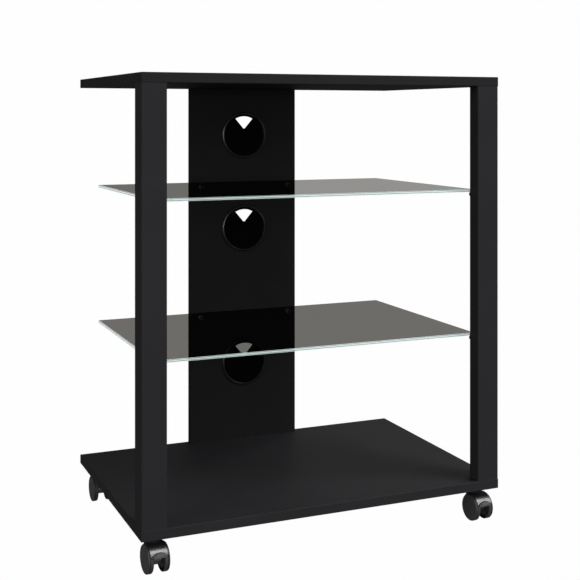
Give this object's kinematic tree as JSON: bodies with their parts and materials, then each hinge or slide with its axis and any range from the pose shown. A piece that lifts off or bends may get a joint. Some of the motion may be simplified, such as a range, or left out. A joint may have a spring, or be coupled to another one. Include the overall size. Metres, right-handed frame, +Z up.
{
  "type": "media cabinet",
  "caption": "Open rolling media cabinet: laminated boards on rebated front posts and a back column, glass shelves, cable grommets and twin-wheel casters.",
  "frame": {"origin": "on the floor, at the middle of the footprint", "axes": "+Z up, +X to the right seen from the front, front faces -Y"},
  "size_m": [0.6, 0.4007, 0.725],
  "materials": {
    "board_laminate": "matt black melamine laminate on particle board",
    "column_laminate": "matt black melamine laminate on particle board",
    "clear_glass": "clear toughened float glass with ground edges",
    "pin_plastic": "black moulded plastic",
    "clear_sleeve": "clear soft sleeve",
    "beech": "plain beech",
    "zinc_steel": "zinc-plated steel",
    "zinc_alloy": "die-cast zinc alloy",
    "grommet_plastic": "satin black moulded plastic",
    "caster_hood": "glossy dark grey moulded plastic",
    "caster_wheel": "satin dark grey moulded plastic"
  },
  "bodies": {
    "cabinet": {"top_board": "board_laminate", "base_board": "board_laminate", "left_post": "board_laminate", "right_post": "board_laminate", "back_column": "column_laminate", "lower_glass_shelf": "clear_glass", "upper_glass_shelf": "clear_glass", "lower_shelf_pins": "pin_plastic", "upper_shelf_pins": "pin_plastic", "lower_pin_sleeves": "clear_sleeve", "upper_pin_sleeves": "clear_sleeve", "wood_dowels": "beech", "carcass_screws": "zinc_steel", "cam_bolts": "zinc_steel", "cam_discs": "zinc_alloy", "caster_screws": "zinc_steel", "bottom_grommet_liner": "grommet_plastic", "middle_grommet_liner": "grommet_plastic", "top_grommet_liner": "grommet_plastic", "front_left_plate": "zinc_steel", "front_left_kingpin": "zinc_steel", "front_right_plate": "zinc_steel", "front_right_kingpin": "zinc_steel", "rear_left_plate": "zinc_steel", "rear_left_kingpin": "zinc_steel", "rear_right_plate": "zinc_steel", "rear_right_kingpin": "zinc_steel"},
    "bottom_cap": {"bottom_grommet_cap": "grommet_plastic"},
    "middle_cap": {"middle_grommet_cap": "grommet_plastic"},
    "top_cap": {"top_grommet_cap": "grommet_plastic"},
    "front_left_caster": {"front_left_hood": "caster_hood", "front_left_axle": "zinc_steel"},
    "front_left_outer_wheel": {"front_left_outer_wheel": "caster_wheel"},
    "front_left_inner_wheel": {"front_left_inner_wheel": "caster_wheel"},
    "front_left_brake": {"front_left_brake_pedal": "caster_hood"},
    "front_right_caster": {"front_right_hood": "caster_hood", "front_right_axle": "zinc_steel"},
    "front_right_outer_wheel": {"front_right_outer_wheel": "caster_wheel"},
    "front_right_inner_wheel": {"front_right_inner_wheel": "caster_wheel"},
    "front_right_brake": {"front_right_brake_pedal": "caster_hood"},
    "rear_left_caster": {"rear_left_hood": "caster_hood", "rear_left_axle": "zinc_steel"},
    "rear_left_outer_wheel": {"rear_left_outer_wheel": "caster_wheel"},
    "rear_left_inner_wheel": {"rear_left_inner_wheel": "caster_wheel"},
    "rear_right_caster": {"rear_right_hood": "caster_hood", "rear_right_axle": "zinc_steel"},
    "rear_right_outer_wheel": {"rear_right_outer_wheel": "caster_wheel"},
    "rear_right_inner_wheel": {"rear_right_inner_wheel": "caster_wheel"}
  },
  "joints": [
    {"name": "bottom_grommet_turn", "type": "hinge", "parent": "cabinet", "child": "bottom_cap", "pos_m": [0, 0.183, 0.209], "axis": [0, 1, 0], "continuous": true},
    {"name": "middle_grommet_turn", "type": "hinge", "parent": "cabinet", "child": "middle_cap", "pos_m": [0, 0.183, 0.455], "axis": [0, 1, 0], "continuous": true},
    {"name": "top_grommet_turn", "type": "hinge", "parent": "cabinet", "child": "top_cap", "pos_m": [0, 0.183, 0.626], "axis": [0, 1, 0], "continuous": true},
    {"name": "front_left_swivel", "type": "hinge", "parent": "cabinet", "child": "front_left_caster", "pos_m": [-0.2737, -0.1662, 0.0505], "axis": [0, 0, 1], "continuous": true},
    {"name": "front_left_outer_wheel_spin", "type": "hinge", "parent": "front_left_caster", "child": "front_left_outer_wheel", "pos_m": [-0.27318, -0.17619, 0.021], "axis": [0.9986, 0.0523, 0], "continuous": true},
    {"name": "front_left_inner_wheel_spin", "type": "hinge", "parent": "front_left_caster", "child": "front_left_inner_wheel", "pos_m": [-0.27318, -0.17619, 0.021], "axis": [0.9986, 0.0523, 0], "continuous": true},
    {"name": "front_left_brake_press", "type": "hinge", "parent": "front_left_caster", "child": "front_left_brake", "pos_m": [-0.27245, -0.19002, 0.029], "axis": [0.9986, 0.0523, 0], "range_deg": [0, 12]},
    {"name": "front_right_swivel", "type": "hinge", "parent": "cabinet", "child": "front_right_caster", "pos_m": [0.2737, -0.1662, 0.0505], "axis": [0, 0, 1], "continuous": true},
    {"name": "front_right_outer_wheel_spin", "type": "hinge", "parent": "front_right_caster", "child": "front_right_outer_wheel", "pos_m": [0.27422, -0.17619, 0.021], "axis": [0.9986, 0.0523, 0], "continuous": true},
    {"name": "front_right_inner_wheel_spin", "type": "hinge", "parent": "front_right_caster", "child": "front_right_inner_wheel", "pos_m": [0.27422, -0.17619, 0.021], "axis": [0.9986, 0.0523, 0], "continuous": true},
    {"name": "front_right_brake_press", "type": "hinge", "parent": "front_right_caster", "child": "front_right_brake", "pos_m": [0.27495, -0.19002, 0.029], "axis": [0.9986, 0.0523, 0], "range_deg": [0, 12]},
    {"name": "rear_left_swivel", "type": "hinge", "parent": "cabinet", "child": "rear_left_caster", "pos_m": [-0.2737, 0.1662, 0.0505], "axis": [0, 0, 1], "continuous": true},
    {"name": "rear_left_outer_wheel_spin", "type": "hinge", "parent": "rear_left_caster", "child": "rear_left_outer_wheel", "pos_m": [-0.2737, 0.1562, 0.021], "axis": [1, 0, 0], "continuous": true},
    {"name": "rear_left_inner_wheel_spin", "type": "hinge", "parent": "rear_left_caster", "child": "rear_left_inner_wheel", "pos_m": [-0.2737, 0.1562, 0.021], "axis": [1, 0, 0], "continuous": true},
    {"name": "rear_right_swivel", "type": "hinge", "parent": "cabinet", "child": "rear_right_caster", "pos_m": [0.2737, 0.1662, 0.0505], "axis": [0, 0, 1], "continuous": true},
    {"name": "rear_right_outer_wheel_spin", "type": "hinge", "parent": "rear_right_caster", "child": "rear_right_outer_wheel", "pos_m": [0.2737, 0.1562, 0.021], "axis": [1, 0, 0], "continuous": true},
    {"name": "rear_right_inner_wheel_spin", "type": "hinge", "parent": "rear_right_caster", "child": "rear_right_inner_wheel", "pos_m": [0.2737, 0.1562, 0.021], "axis": [1, 0, 0], "continuous": true}
  ]
}
